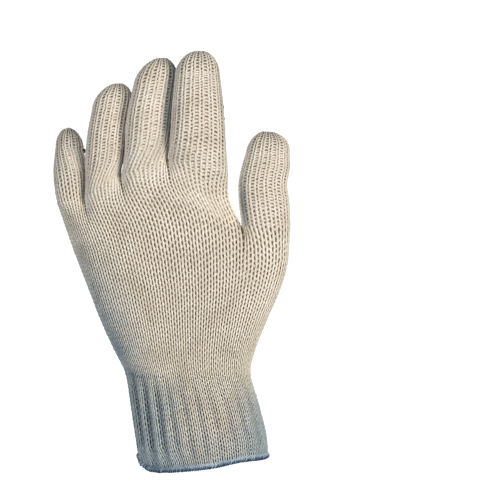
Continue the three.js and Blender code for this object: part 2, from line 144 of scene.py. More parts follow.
def even_oval(aspect, power):
    """Half of the oval |x|^power + |y|^power = 1, walked at an even pace from x = -1 to x = 1."""
    angle = np.linspace(0, math.pi, OVAL_STEPS)
    x = -np.sign(np.cos(angle)) * np.abs(np.cos(angle)) ** (2 / power)
    y = np.abs(np.sin(angle)) ** (2 / power)
    walked = np.concatenate([[0], np.cumsum(np.hypot(np.diff(x), aspect * np.diff(y)))])

    def place(share):
        way = np.clip(share, 0, 1) * walked[-1]
        return np.interp(way, walked, x), np.interp(way, walked, y)

    return place


cuff_oval = even_oval(aspect=0.62, power=2.0)
palm_oval = even_oval(aspect=0.34, power=2.4)
finger_oval = even_oval(aspect=0.85, power=2.35)
THUMB_SIDE = palm_oval(FOUR_FINGER_WALES / WALES)[0]


def sleeve_oval(wale, course):
    """The whole tube's section: round at the cuff, and flatter from the wrist on."""
    how = smooth((course - FLATTENS_FROM_COURSE) / FLATTENING_COURSES)
    return [a + how * (b - a) for a, b in zip(cuff_oval(wale / WALES), palm_oval(wale / WALES))]


def side_edges(rows, at):
    """The tube's little-finger side and its thumb side at that course."""
    both = read(rows, "left_x left_y left_z right_x right_y right_z", at)
    return both[..., :3], both[..., 3:]


def out_of_back(left, right, run=None):
    """The way out of the back: -Y, less its parts along the ring's width and along the finger's run."""
    width = unit(right - left)
    out = np.zeros_like(width) + (0.0, -1.0, 0.0)
    out = out - dot(out, width) * width
    if run is not None:
        along = unit(run - dot(run, width) * width)
        out = out - dot(out, along) * along
    return unit(out)


def ring_point(left, right, out, depth, place):
    """A point of an oval ring: across between its two edges, and out from that line by depth times rise."""
    across, rise = place
    return lerp(left, right, (across + 1) / 2) + out * (depth * rise)[..., None]


def depth_of(rows, at, side):
    back, palm = np.moveaxis(read(rows, "back_depth palm_depth", at), -1, 0)
    return np.where(side < 0, back, -palm)


def finger_row_at(wale):
    """How the fingers' row strays from the chord between its ends: share along it, upwards and away."""
    spot = read(FINGER_ROW, "x y z", wale)
    first, last = (np.array([FINGER_ROW[k][end] for k in "xyz"]) for end in (0, -1))
    chord = (last - first) * (1, 0, 1)
    offset = (spot - first) * (1, 0, 1)
    share = (offset @ chord) / (chord @ chord)
    up = np.array([-chord[2], 0, chord[0]]) / np.linalg.norm(chord)
    return share, offset @ up, spot[..., 1] - first[1] - share * (last[1] - first[1])


def four_finger_middle(wale, course):
    """The middle line of the four-finger tube: even at the wrist, and as the fingers part at their row."""
    left, right = side_edges(FOUR_FINGERS, course)
    even = (palm_oval(wale / WALES)[0] + 1) / (THUMB_SIDE + 1)
    share, up_by, away = finger_row_at(wale)
    how = smooth((course - WRIST_COURSE) / (FINGER_COURSE - WRIST_COURSE))
    across = right - left
    up = unit(np.stack([-across[..., 2], 0 * share, across[..., 0]], axis=-1))
    point = lerp(left, right, even + how * (share - even)) + up * (how * up_by)[..., None]
    point[..., 1] += how * away
    return point


def opened(share):
    """1 - (1 - t)^2: how open a cleft is, which opens fastest at the start."""
    t = np.clip(share, 0, 1)
    return 1 - (1 - t) ** 2


def finger_of(wale):
    """The number of the finger that a wale of the hand runs into."""
    return np.searchsorted(FINGER_ROOTS["first_wale"][1:], wale, side="left")


def four_finger_point(wale, side, course):
    """Four round tubes side by side at the fingers' row, which open into one flat oval below it."""
    left, right = side_edges(FOUR_FINGERS, course)
    rise = palm_oval(wale / FOUR_FINGER_WALES)[1]
    lift = (depth_of(FOUR_FINGERS, course, side) * rise)[..., None]
    flat = four_finger_middle(wale, course) + out_of_back(left, right) * lift
    finger = np.minimum(finger_of(wale), THUMB - 1)
    first, wales = FINGER_ROOTS["first_wale"][finger], FINGER_ROOTS["wales"][finger]
    left, right = four_finger_middle(first, course), four_finger_middle(first + wales, course)
    depth = -side * FINGER_ROOTS["depth"][finger]
    rounded = ring_point(left, right, out_of_back(left, right), depth, finger_oval((wale - first) / wales))
    return lerp(rounded, flat, opened((FINGER_COURSE - course) / FINGER_BLEND))


COURSE_PAST_ROOT = 2.4  # the rise of each course past the hand's last round


def hand_point(wale, side, course):
    """The four-finger tube and the thumb's, side by side at the thumb's root and one oval below it. Past a
    root the point goes on upwards by an even step, with the finger's lean."""
    wale, side, course = np.broadcast_arrays(wale, side, course)
    thumb = wale > FOUR_FINGER_WALES
    root = np.where(thumb, THUMB_COURSE, FINGER_COURSE)
    at = np.minimum(course, root)
    left, right = side_edges(SLEEVE, at)
    inner = side_edges(FOUR_FINGERS, at)[1]
    finger_wale = np.minimum(wale, FOUR_FINGER_WALES)
    thumb_share = np.clip((wale - FOUR_FINGER_WALES) / (WALES - FOUR_FINGER_WALES), 0, 1)
    thumb_depth = -side * FINGER_ROOTS["depth"][THUMB]
    thumb_ring = ring_point(inner, right, out_of_back(inner, right), thumb_depth, finger_oval(thumb_share))
    thumb_mask = thumb[..., None]
    apart = np.where(thumb_mask, thumb_ring, four_finger_point(finger_wale, side, at))
    outer_share = np.clip((palm_oval(wale / WALES)[0] - THUMB_SIDE) / (1 - THUMB_SIDE), 0, 1)
    middle = np.where(thumb_mask, lerp(inner, right, outer_share), four_finger_middle(finger_wale, at))
    across, rise = sleeve_oval(wale, at)
    pull = smooth((at - WRIST_COURSE) / (THUMB_COURSE - WRIST_COURSE))
    line = lerp(lerp(left, right, (across + 1) / 2), middle, pull)
    whole = line + out_of_back(left, right) * (depth_of(SLEEVE, at, side) * rise)[..., None]
    point = lerp(apart, whole, np.where(at <= WRIST_COURSE, 1.0, opened((THUMB_COURSE - at) / THUMB_BLEND)))
    beyond = COURSE_PAST_ROOT * (course - at)
    lean = FINGER_ROOTS["lean"][finger_of(wale)]
    return point + np.stack([lean * beyond, 0 * beyond, beyond], axis=-1)


def around(place, wales):
    """Wale and side of a place counted in stitches round a tube: over the back, then home over the palm."""
    place = np.mod(place, 2 * wales)
    return wales - np.abs(wales - place), np.where(place < wales, BACK, PALM)


def hand_round(place, course):
    """Full rounds of the hand below the thumb's cleft."""
    wale, side = around(place, WALES)
    return hand_point(wale, side, course)


def four_finger_round(place, course):
    """Rounds of the four-finger tube between the thumb's cleft and the fingers'."""
    wale, side = around(place, FOUR_FINGER_WALES)
    return hand_point(wale, side, course)


def on_surface(surface, place, course):
    """A point of a knitted surface, the way out of it, which is the cross product of its two slopes, and the
    width of a stitch there."""
    step = 0.03
    along = surface(place + step, course) - surface(place - step, course)
    upward = surface(place, course + step) - surface(place, course - step)
    width = np.linalg.norm(along, axis=-1) / (2 * step)
    return surface(place, course), unit(np.cross(along, upward)), width


YARN_THIN, YARN_THICK = 0.28, 0.88
YARN_SIDES = 5
LOOP_POINTS = 12
PALM_LOOP = {"yarn": 0.172, "shoulder": 0.12, "bow": 0.0, "height": 0.86, "swell": 0.34, "stray": 1.3}
PLACE_STRAY, COURSE_STRAY, DEPTH_STRAY = 0.02, 0.05, 0.05


def wander(rng, rounds, stitches, size):
    """Small random shifts, one for each half stitch, joined by straight lines along the yarn."""
    knots = rng.normal(0, size, (rounds, 2 * stitches))
    where = np.arange(stitches * LOOP_POINTS) * 2 / LOOP_POINTS
    low = where.astype(int)
    share = where - low
    return knots[:, low] * (1 - share) + knots[:, (low + 1) % (2 * stitches)] * share


def knitted_yarn(surface, wales, edges, seed, loop):
    """The yarn's middle line in each round between two edges. With t from 0 to 2 pi over a stitch it lies
    at t / 2 pi + shoulder sin 2t + bow sin t across, height cos t round heights up, and its radius plus
    swell (1 + cos 2t) below the surface, so that the two legs stand out and the head and foot lie behind
    their neighbours'. The radius is a share of the stitch's width, because loose yarn is squeezed where
    stitches are narrow."""
    rng = np.random.default_rng(seed)
    stitches = 2 * wales
    t = 2 * math.pi * np.arange(stitches * LOOP_POINTS) / LOOP_POINTS
    shape = (len(edges) - 1, stitches)
    place = t / (2 * math.pi) + 0.5 + loop["shoulder"] * np.sin(2 * t) + loop["bow"] * np.sin(t)
    place = place + loop["stray"] * wander(rng, *shape, PLACE_STRAY)
    middle, tall = (edges[1:] + edges[:-1])[:, None] / 2, np.diff(edges)[:, None]
    shift = loop["stray"] * wander(rng, *shape, COURSE_STRAY)
    course = middle + tall * (loop["height"] * np.cos(t) + shift)
    point, out, width = on_surface(surface, place, course)
    radius = np.clip(loop["yarn"] * width, YARN_THIN, YARN_THICK)
    deep = -radius - loop["swell"] * (1 + np.cos(2 * t)) + wander(rng, *shape, DEPTH_STRAY)
    return point + out * deep[..., None], out, radius


def tube_round(path, out, radius, sides):
    """Closed rings of yarn: at each point of the path a circle, in the plane square to the path."""
    along = unit(np.roll(path, -1, axis=1) - np.roll(path, 1, axis=1))
    across = unit(np.cross(along, out))
    out = np.cross(across, along)
    turn = 2 * math.pi * np.arange(sides) / sides
    spokes = out[:, :, None] * np.cos(turn)[:, None] + across[:, :, None] * np.sin(turn)[:, None]
    return path[:, :, None] + np.asarray(radius)[..., None, None] * spokes


def closed_strip(rounds, points, sides):
    """Corner numbers and UVs of the four-cornered faces of tube_round's rings."""
    ring, i, k = np.meshgrid(np.arange(rounds), np.arange(points), np.arange(sides), indexing="ij")
    step_i = np.array([0, 0, 1, 1])
    step_k = np.array([0, 1, 1, 0])
    i4, k4 = i[..., None] + step_i, k[..., None] + step_k
    corners = (ring[..., None] * points + i4 % points) * sides + k4 % sides
    return corners.reshape(-1, 4), np.stack([i4 / LOOP_POINTS, k4 / sides], axis=-1).reshape(-1, 2)


def piece(name, points, faces, material, node, uv=None):
    """A mesh of four-cornered faces, which rides on the glove and stands for one of its solids."""
    mesh = bpy.data.meshes.new(name)
    mesh.vertices.add(len(points))
    mesh.vertices.foreach_set("co", (points * MM).ravel())
    mesh.loops.add(faces.size)
    mesh.loops.foreach_set("vertex_index", faces.ravel().astype(np.int32))
    mesh.polygons.add(len(faces))
    mesh.polygons.foreach_set("loop_start", np.arange(len(faces), dtype=np.int32) * faces.shape[1])
    if uv is not None:
        mesh.uv_layers.new(name="yarn").data.foreach_set("uv", uv.ravel())
    mesh.update(calc_edges=True)
    mesh.validate()
    mesh.shade_smooth()
    mesh.materials.append(material)
    made = bpy.data.objects.new(name, mesh)
    bpy.context.scene.collection.objects.link(made)
    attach(made, "root")
    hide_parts(node)
    return made


def material_nodes(name):
    """A new material with its shader and a short way to add a node and to join two."""
    material = bpy.data.materials.new(name)
    material.use_nodes = True
    tree = material.node_tree
    shader = tree.nodes["Principled BSDF"]

    def add(kind, inputs=(), **settings):
        node = tree.nodes.new(kind)
        for key, value in settings.items():
            setattr(node, key, value)
        for key, value in dict(inputs).items():
            if isinstance(value, bpy.types.NodeSocket):
                tree.links.new(value, node.inputs[key])
            else:
                node.inputs[key].default_value = value
        return node

    def join(source, target):
        tree.links.new(source, target)

    return material, shader, add, join


def noise(add, vector, scale, detail=3.0, roughness=0.7):
    inputs = {"Vector": vector, "Scale": scale, "Detail": detail, "Roughness": roughness}
    return add("ShaderNodeTexNoise", inputs).outputs["Fac"]


def part_of(add, vector, axis):
    """The X, Y or Z of a vector."""
    return add("ShaderNodeSeparateXYZ", {"Vector": vector}).outputs[axis]


def maths(add, operation, *values, held=False):
    """What an operation makes of values and sockets, held between 0 and 1 where asked."""
    return add("ShaderNodeMath", dict(enumerate(values)), operation=operation, use_clamp=held).outputs[0]


def mapped(add, value, places, shares):
    """The first share up to the first of two places, the second past the second, and evenly in between."""
    inputs = {"Value": value, 1: places[0], 2: places[1], 3: shares[0], 4: shares[1]}
    return add("ShaderNodeMapRange", inputs).outputs[0]


def mixed(add, share, first, second, how="MIX"):
    """Two colours mixed by a share, or the first multiplied by the second to that share."""
    inputs = {0: share, 6: first, 7: second}
    return add("ShaderNodeMix", inputs, data_type="RGBA", blend_type=how).outputs[2]


def ramp(add, factor, *stops):
    """A colour ramp with a stop for each (place, colour)."""
    node = add("ShaderNodeValToRGB", {"Fac": factor})
    line = node.color_ramp
    for number, (place, colour) in enumerate(stops):
        stop = line.elements[number] if number < 2 else line.elements.new(place)
        stop.position = place
        stop.color = (*colour, 1)
    return node.outputs["Color"]


def dress(shader, add, join, colour, height, strength, distance, roughness, specular):
    """Gives a shader its colour, a relief from a height, and its shine."""
    join(colour, shader.inputs["Base Color"])
    bump = add("ShaderNodeBump", {"Strength": strength, "Distance": distance, "Height": height})
    join(bump.outputs["Normal"], shader.inputs["Normal"])
    shader.inputs["Roughness"].default_value = roughness
    shader.inputs["Specular IOR Level"].default_value = specular


CLOUD_SCALE, FLECK_SCALE, FUZZ_SCALE = 70, 900, 3200
FLECK_TONE = (0.72, 0.66, 0.56)
FLECK_SHARE = 0.55
UNTINTED = (1, 1, 1)
# Painted shade: the colour a yarn darkens to on its side that turns in between its neighbours
PAINTED_SHADE_BETWEEN_LOOPS = (0.50, 0.41, 0.30)
PLIES_TO_STITCH = 2.6
FUZZ_TO_PLY = 1.6


def yarn_material(name, pale, middle, dark, shade_between=PAINTED_SHADE_BETWEEN_LOOPS, plies=PLIES_TO_STITCH, tinge=None):
    """Soft spun yarn: slanting plies along its length, darker and paler flecks, a haze of loose fibres, and
    painted shade that darkens it where it turns in between its neighbours. A tinge changes the colour in
    places."""
    material, shader, add, join = material_nodes(name)
    coords = add("ShaderNodeTexCoord")
    body, yarn = coords.outputs["Object"], coords.outputs["UV"]
    clouds = noise(add, body, CLOUD_SCALE, roughness=0.5)
    tint = ramp(add, clouds, (0.34, dark), (0.5, middle), (0.66, pale))
    flecks = noise(add, body, FLECK_SCALE, detail=2, roughness=0.6)
    fleck_tint = ramp(add, flecks, (0.3, FLECK_TONE), (0.46, UNTINTED))
    colour = mixed(add, FLECK_SHARE, tint, fleck_tint, how="MULTIPLY")
    if tinge:
        colour = tinge(add, coords, colour)
    round_yarn = part_of(add, yarn, "Y")
    outwards = maths(add, "COSINE", maths(add, "MULTIPLY", round_yarn, 2 * math.pi))
    # painted shade: darker towards the yarn's inner side, where it turns in between its neighbours
    painted_turning_shade = ramp(add, outwards, (0.0, shade_between), (0.7, UNTINTED))
    turns = maths(add, "MULTIPLY_ADD", part_of(add, yarn, "X"), plies, round_yarn)
    ply = maths(add, "SINE", maths(add, "MULTIPLY", turns, 4 * math.pi))
    height = maths(add, "MULTIPLY_ADD", noise(add, body, FUZZ_SCALE), FUZZ_TO_PLY, ply)
    colour = mixed(add, 1.0, colour, painted_turning_shade, how="MULTIPLY")
    relief = {"strength": 0.55, "distance": 0.00016}
    dress(shader, add, join, colour, height, roughness=0.93, specular=0.2, **relief)
    shader.inputs["Sheen Weight"].default_value = 0.25
    shader.inputs["Sheen Roughness"].default_value = 0.55
    return material


CREAM = ((0.86, 0.80, 0.71), (0.81, 0.75, 0.645), (0.74, 0.675, 0.57))
# Painted shade: blue-grey over the hand's little-finger side, most at the wrist
WRIST_SHADE_GREY = (0.38, 0.46, 0.50)
WRIST_SHADE_STITCHES, WRIST_SHADE_SHARES = (2.0, 11.0), (1.1, 0.0)  # counted from the little finger's side
WRIST_SHADE_HEIGHTS, WRIST_SHADE_AT_HEIGHTS = (0.07, 0.13), (1.0, 0.14)
WRIST_SHADE_SCALE = 180
WRIST_SHADE_STRENGTH = 1.7


def painted_wrist_shade(add, coords, colour):
    """Painted blue-grey shade along the little finger's side, by the stitch's number round the hand, which
    is most at the wrist. Noise breaks it up."""
    stitch = part_of(add, coords.outputs["UV"], "X")
    height = part_of(add, coords.outputs["Object"], "Z")
    from_side = maths(add, "PINGPONG", stitch, float(WALES))
    shaded = maths(
        add,
        "MULTIPLY",
        mapped(add, from_side, WRIST_SHADE_STITCHES, WRIST_SHADE_SHARES),
        mapped(add, height, WRIST_SHADE_HEIGHTS, WRIST_SHADE_AT_HEIGHTS),
    )
    patches = maths(add, "MULTIPLY", noise(add, coords.outputs["Object"], WRIST_SHADE_SCALE), WRIST_SHADE_STRENGTH)
    share = maths(add, "MULTIPLY", shaded, patches, held=True)
    return mixed(add, share, colour, (*WRIST_SHADE_GREY, 1))


cream_yarn = yarn_material("cream string yarn", *CREAM)
wrist_shaded_yarn = yarn_material("cream string yarn, worn", *CREAM, tinge=painted_wrist_shade)


def knit(
    name, surface, wales, edges, seed, node, material=cream_yarn, loop=PALM_LOOP
):
    """Rounds of yarn loops over a surface, as one piece."""
    path, out, radius = knitted_yarn(surface, wales, edges, seed, loop)
    points = tube_round(path, out, radius, YARN_SIDES)
    faces, uv = closed_strip(len(edges) - 1, path.shape[1], YARN_SIDES)
    return piece(name, points.reshape(-1, 3), faces, material, node, uv)


FELT_SCALE = 1500


def fibre_material(name, dark, pale):
    """Matted fibre in two tones in fine patches. On the walls behind the loops its dark brown is painted
    shade seen through the holes; on the knit's inside it is the knit's own colour.
    """
    material, shader, add, join = material_nodes(name)
    fuzz = noise(add, add("ShaderNodeTexCoord").outputs["Object"], FELT_SCALE)
    colour = ramp(add, fuzz, (0.35, dark), (0.65, pale))
    relief = {"strength": 0.6, "distance": 0.0003}
    dress(shader, add, join, colour, fuzz, roughness=1.0, specular=0.05, **relief)
    return material


# Painted shade: the dark brown of the walls behind the loops stands for the shade seen through the holes
painted_shade_backing = fibre_material("painted shade behind the loops", (0.23, 0.155, 0.09), (0.46, 0.34, 0.22))
inside_fibre = fibre_material("brushed inside of the knit", (0.62, 0.56, 0.48), (0.80, 0.74, 0.65))

FIBRE_OUTER, FIBRE_INNER = -1.5, -1.75


def skin_between(rows, count):
    """Corner numbers of the four-cornered faces between closed rows of points, each above the last."""
    i, k = np.meshgrid(np.arange(rows - 1), np.arange(count), indexing="ij")
    after = (k + 1) % count
    below, above = i * count, (i + 1) * count
    return np.stack([below + k, below + after, above + after, above + k], axis=-1).reshape(-1, 4)


def shaded_backing_wall(
    name, surface, wales, courses, node, closed=False, material=painted_shade_backing
):
    """The wall that closes the knit behind its loops: its dark outer side is painted shade seen through the
    holes, and its inner side is the knit's brushed inside. Two offsets of the surface, joined at the rims. A
    closed tip's last round is drawn together by a strip between its back and its palm."""
    course, place = np.meshgrid(courses, np.arange(2 * wales, dtype=float), indexing="ij")
    point, out, _ = on_surface(surface, place, course)
    rows, count = course.shape
    points = np.concatenate([point + FIBRE_OUTER * out, point + FIBRE_INNER * out]).reshape(-1, 3)
    skin = skin_between(rows, count)
    inner = skin[:, ::-1] + rows * count
    k = np.arange(count)
    after = (k + 1) % count
    foot = np.stack([after, k, k + rows * count, after + rows * count], axis=-1)
    top = (rows - 1) * count
    if closed:
        k = np.arange(wales)
        mate = (2 * wales - k) % count
        mate_after = 2 * wales - k - 1
        cap = np.stack([top + k, top + k + 1, top + mate_after, top + mate], axis=-1)
        ends = [cap, cap[:, ::-1] + rows * count]
    else:
        rim = np.stack([k, after, after + rows * count, k + rows * count], axis=-1) + top
        ends = [rim]
    faces = np.concatenate([skin, inner, foot, *ends])
    made = piece(name, points, faces, material, node)
    made.data.materials.append(inside_fibre)
    is_inside = np.zeros(len(made.data.polygons), np.int32)
    is_inside[len(skin) : 2 * len(skin)] = 1
    made.data.polygons.foreach_set("material_index", is_inside)
    return made


def rounds_between(first, last, count=None, shrink=0.0):
    """The edges of rounds, each of which may be shorter than the one below by an even share."""
    count = count or last - first
    share = np.linspace(0, 1, count + 1)
    return first + (last - first) * (share + shrink * share * (1 - share))


MIDDLE_COURSE = 38
FIBRE_PAST_EDGE, FIBRE_INTO_CUFF = 0.1, 0.3
lower_rounds = rounds_between(WRIST_COURSE, MIDDLE_COURSE)
middle_rounds = rounds_between(MIDDLE_COURSE, THUMB_COURSE)
upper_rounds = rounds_between(THUMB_COURSE, FINGER_COURSE, count=12, shrink=0.2)
knit("hand_lower_loops", hand_round, WALES, lower_rounds, 11, "lower_hand", material=wrist_shaded_yarn)
knit("hand_middle_loops", hand_round, WALES, middle_rounds, 12, "lower_hand", material=wrist_shaded_yarn)
knit("hand_upper_loops", four_finger_round, FOUR_FINGER_WALES, upper_rounds, 13, "upper_hand")
hand_fibre_courses = np.linspace(WRIST_COURSE - FIBRE_INTO_CUFF, THUMB_COURSE + FIBRE_PAST_EDGE, num=31)
upper_fibre_courses = np.linspace(THUMB_COURSE - FIBRE_PAST_EDGE, FINGER_COURSE + FIBRE_PAST_EDGE, num=12)
shaded_backing_wall("hand_lower_shaded_backing", hand_round, WALES, hand_fibre_courses, "lower_hand")
shaded_backing_wall("hand_upper_shaded_backing", four_finger_round, FOUR_FINGER_WALES, upper_fibre_courses, "upper_hand")

# Fingers and thumb: narrow tubes of the same knit, with shorter loops, which run on from the hand's last
# round. Each ends in a round tip, where the last loops of back and palm are drawn together in a line.
FINGER_LOOP = {"yarn": 0.138, "shoulder": 0.10, "bow": 0.06, "height": 0.84, "swell": 0.30, "stray": 1.2}
FINGER_LOOP_HEIGHT = 1.8
ROOT_STRETCH = 0.08
SETTLING_LOOPS = 8
TIP_LOOPS = 10
FINGER_EDGES = {
    "little": table(
        EDGES + " depth",
        (0, -85.0, 3, 151.4, -69.3, 1.5, 155.4, 9.5),
        (0.35, -87.1, 7.6, 166, -69.6, 1.8, 167.5, 8.9),
        (0.7, -86.2, 12.8, 176, -71.2, 2.2, 177, 8.7),
        (1, -84.5, 16.6, 184.5, -73.6, 4.2, 185, 8.1),
    ),
    "ring": table(
        EDGES + " depth",
        (0, -69.3, 1.5, 155.4, -48.1, 0, 168.2, 11.5),
        (0.3, -68.1, -2.5, 174.6, -47.5, 7, 178.6, 9.9),
        (0.65, -66.8, -2, 192, -46.0, 9.5, 193.7, 9.2),
        (1, -64.2, 2, 209.4, -43.6, 14, 210.5, 8.8),
    ),
    "middle": table(
        EDGES + " depth",
        (0, -48.1, 0, 168.2, -20.9, -1, 176.9, 12.5),
        (0.28, -45.3, -4, 183.3, -20.4, 5.5, 187.9, 10.7),
        (0.64, -43.8, -4.5, 202.0, -18.9, 9, 205.3, 10),
        (1, -40.0, 0, 222.0, -17.4, 13.5, 223.5, 9.6),
    ),
    "index": table(
        EDGES + " depth",
        (0, -20.9, -1, 176.9, 14.2, 0, 170.5, 13),
        (0.3, -19.3, -5, 192.0, 12.5, 1.5, 189.1, 12),
        (0.65, -18.1, -4.5, 209.4, 10.9, 3, 209.4, 11.3),
        (1, -16.7, 0, 226.5, 8.7, 7.5, 226.5, 10.8),
    ),
    "thumb": table(
        EDGES + " depth",
        (0, 22.0, 6, 139.2, 50.2, 11, 139.2, 13),
        (0.28, 20.2, 7.5, 152.5, 49.9, 11.5, 152.5, 12.4),
        (0.54, 19.9, 8, 164.5, 48.5, 12, 163.6, 12),
        (0.77, 21.7, 9, 174.0, 50.2, 13, 173.4, 11.6),
        (1, 24.4, 10.5, 183.2, 50.0, 13.5, 182.1, 11.2),
    ),
}
FINGER_TIPS = table(
    "rise away sideways width",
    (13.6, 7, -0.8, 0.12),
    (14.2, 7, 0.6, 0.14),
    (16.4, 8, 0.8, 0.12),
    (15.9, 8, 1.8, 0.16),
    (12.8, 5, -2.2, 0.2),
)
TIP_POINT = 1.3
TIP_END = 1.995  # just short of 2, where a tip's ring has no thickness
SLOPE_STEP = 0.02
SQUARING_SHARE = 0.3


def finger_point(number, share, side, at):
    """A ring between the finger's two edges from its root, 0, to 1, where its tip begins. It turns square to
    the finger's run over the first stretch. Over the tip, from 1 to 2, an angle runs to 90 degrees: the ring
    rises by its sine, gets thinner by its cosine, and narrower by the cosine to the power of the tip's
    point."""
    rows = FINGER_EDGES[FINGER_NAMES[number]]
    tip = {key: column[number] for key, column in FINGER_TIPS.items()}
    along = np.minimum(1, at)
    ahead = np.concatenate(side_edges(rows, np.minimum(1, along + SLOPE_STEP)), axis=-1)
    behind = np.concatenate(side_edges(rows, np.maximum(0, along - SLOPE_STEP)), axis=-1)
    run = unit((ahead - behind)[..., :3] + (ahead - behind)[..., 3:])
    left, right = side_edges(rows, along)
    turned = out_of_back(left, right, run)
    out = unit(lerp(out_of_back(left, right), turned, smooth(along / SQUARING_SHARE)))
    angle = np.clip(at - 1, 0, 1) * math.pi / 2
    rise, turn = tip["rise"] * np.sin(angle), 1 - np.cos(angle)
    narrow = tip["width"] + (1 - tip["width"]) * np.cos(angle) ** TIP_POINT
    centre = (left + right) / 2 + run * rise[..., None]
    centre = centre + np.stack([tip["sideways"] * turn, tip["away"] / 2 * turn, 0 * turn], axis=-1)
    half = (right - left) / 2 * narrow[..., None]
    depth = -side * read(rows, "depth", along)[..., 0] * np.cos(angle)
    return ring_point(centre - half, centre + half, out, depth, finger_oval(share))


def finger_loops(number):
    """How many rounds the straight part of a finger has."""
    rows = FINGER_EDGES[FINGER_NAMES[number]]
    left, right = side_edges(rows, np.array([0.0, 1.0]))
    middle = (left + right) / 2
    return int(round(np.linalg.norm(middle[1] - middle[0]) / FINGER_LOOP_HEIGHT))


COURSES_TO_LOOP = 0.62
JUST_INSIDE = 1e-6  # keeps a finger's first wale apart from its neighbour's last


def finger_round(number):
    """The surface of one finger by place round it and by loops above its root, which get shorter towards
    the tip. Below the root it is the hand's, whose loops are taller."""
    first, wales = int(FINGER_ROOTS["first_wale"][number]), int(FINGER_ROOTS["wales"][number])
    root = THUMB_COURSE if FINGER_NAMES[number] == "thumb" else FINGER_COURSE
    straight = finger_loops(number)

    def surface(place, loop):
        wale, side = around(place, wales)
        share = loop / straight
        along = share + ROOT_STRETCH * share * (1 - share)
        over_tip = 1 + (loop - straight) / TIP_LOOPS
        at = np.clip(np.where(loop < straight, along, over_tip), 0, TIP_END)
        tube = finger_point(number, wale / wales, side, at)
        course = root + np.minimum(loop, 0) * COURSES_TO_LOOP
        below = hand_point(first + np.clip(wale, JUST_INSIDE, wales), side, course)
        return np.where((loop < 0)[..., None], below, tube)

    return surface, wales, straight + TIP_LOOPS


def settled_loop(loops):
    """The palm's loop in the first round of a finger, which turns into the finger's over the next few."""
    share = smooth(np.arange(loops)[:, None] / SETTLING_LOOPS)
    return {key: PALM_LOOP[key] + share * (FINGER_LOOP[key] - PALM_LOOP[key]) for key in PALM_LOOP}


# Painted shade: the fingers' cream is the hand's cream made darker, a shaded copy of the same yarn
SHADED_FINGER_CREAM = ((0.81, 0.745, 0.665), (0.76, 0.695, 0.60), (0.695, 0.625, 0.53))
# Painted shade: a slate-grey strip down one side of each finger and of the thumb
STRIP_SHADE_SLATE = (0.24, 0.27, 0.29)
FADE_IN, FADE_OUT = (0.0, 1.0), (1.0, 0.0)
PAINTED_STRIP_SHADES = table(
    "place reach share foot top",
    (6, 1.4, 0.2, 0.15, 0.3),
    (7, 2.5, 0.6, 0.162, 0.3),
    (7, 3.1, 0.85, 0.178, 0.3),
    (8, 1.9, 0.4, 0.17, 0.3),
    (0, 2.0, 0.95, 0.13, 0.174),
)
FADING_STITCHES = 0.9
FADING_HEIGHT = 0.02


def painted_strip_shade(number):
    """Painted slate-grey shade in a strip down one side of a finger: full round its stitch, it fades at its
    reach, at its foot and at its top."""
    side = {key: float(column[number]) for key, column in PAINTED_STRIP_SHADES.items()}
    stitches = (side["reach"] - FADING_STITCHES, side["reach"])
    foot, top = (side["foot"], side["foot"] + FADING_HEIGHT), (side["top"] - FADING_HEIGHT, side["top"])

    def tinge(add, coords, colour):
        stitch = part_of(add, coords.outputs["UV"], "X")
        height = part_of(add, coords.outputs["Object"], "Z")
        away = maths(add, "ABSOLUTE", maths(add, "SUBTRACT", stitch, side["place"] - 0.5))
        near = mapped(add, away, stitches, (side["share"], 0.0))
        from_foot, to_top = mapped(add, height, foot, FADE_IN), mapped(add, height, top, FADE_OUT)
        share = maths(add, "MULTIPLY", near, maths(add, "MULTIPLY", from_foot, to_top))
        return mixed(add, share, colour, (*STRIP_SHADE_SLATE, 1))

    return tinge


FIBRE_BELOW_ROOT, FIBRE_SHORT_OF_TIP = 0.2, 0.12
for number, name in enumerate(FINGER_NAMES):
    node = name if name == "thumb" else f"{name}_finger"
    surface, wales, loops = finger_round(number)
    finger_yarn = yarn_material(f"cream string yarn, {name}", *SHADED_FINGER_CREAM, tinge=painted_strip_shade(number))
    knit(
        f"{node}_loops",
        surface,
        wales,
        rounds_between(0, loops),
        20 + number,
        node,
        material=finger_yarn,
        loop=settled_loop(loops),
    )
    finger_fibre_courses = np.linspace(-FIBRE_BELOW_ROOT, loops - FIBRE_SHORT_OF_TIP, num=loops + 4)
    # Each finger's wall behind its loops is dark with painted shade seen through the holes
    shaded_backing_wall(f"{node}_fibre", surface, wales, finger_fibre_courses, node, closed=True)

# Ribbed cuff: the wrist is knitted with a rubber thread in every third wale, which pulls that wale in, so
# the tube stands in soft upright ribs and grips the wrist.
RIB_WALES = 3
RIB_DEPTH = 1.9
RIB_START = 7
RIB_AT_EDGE, RIB_GROWING_COURSES = 0.35, 3
RIB_SLACK, RIB_SLACK_AT_PALM = 0.8, 0.4
SLACK_FROM_WALE, SLACK_WALES = 7, 8
SIDEWAYS_PULL = 0.35  # the share of a furrow's inward pull that is kept from side to side
HEM_LINE = table("at drop", (0, 0), (5, 4.9), (8, 5.6), (13, 4.6), (20, 2.6), (27, -0.4), (36, 0))
HEM_LIFT_AT_PALM = 1.5
HEM_SLANT, SLANT_COURSES = 1.6, 5
SLANT_WALES, SLANT_TO_WALE, SLANT_FADING_WALES = 4, 6, 16


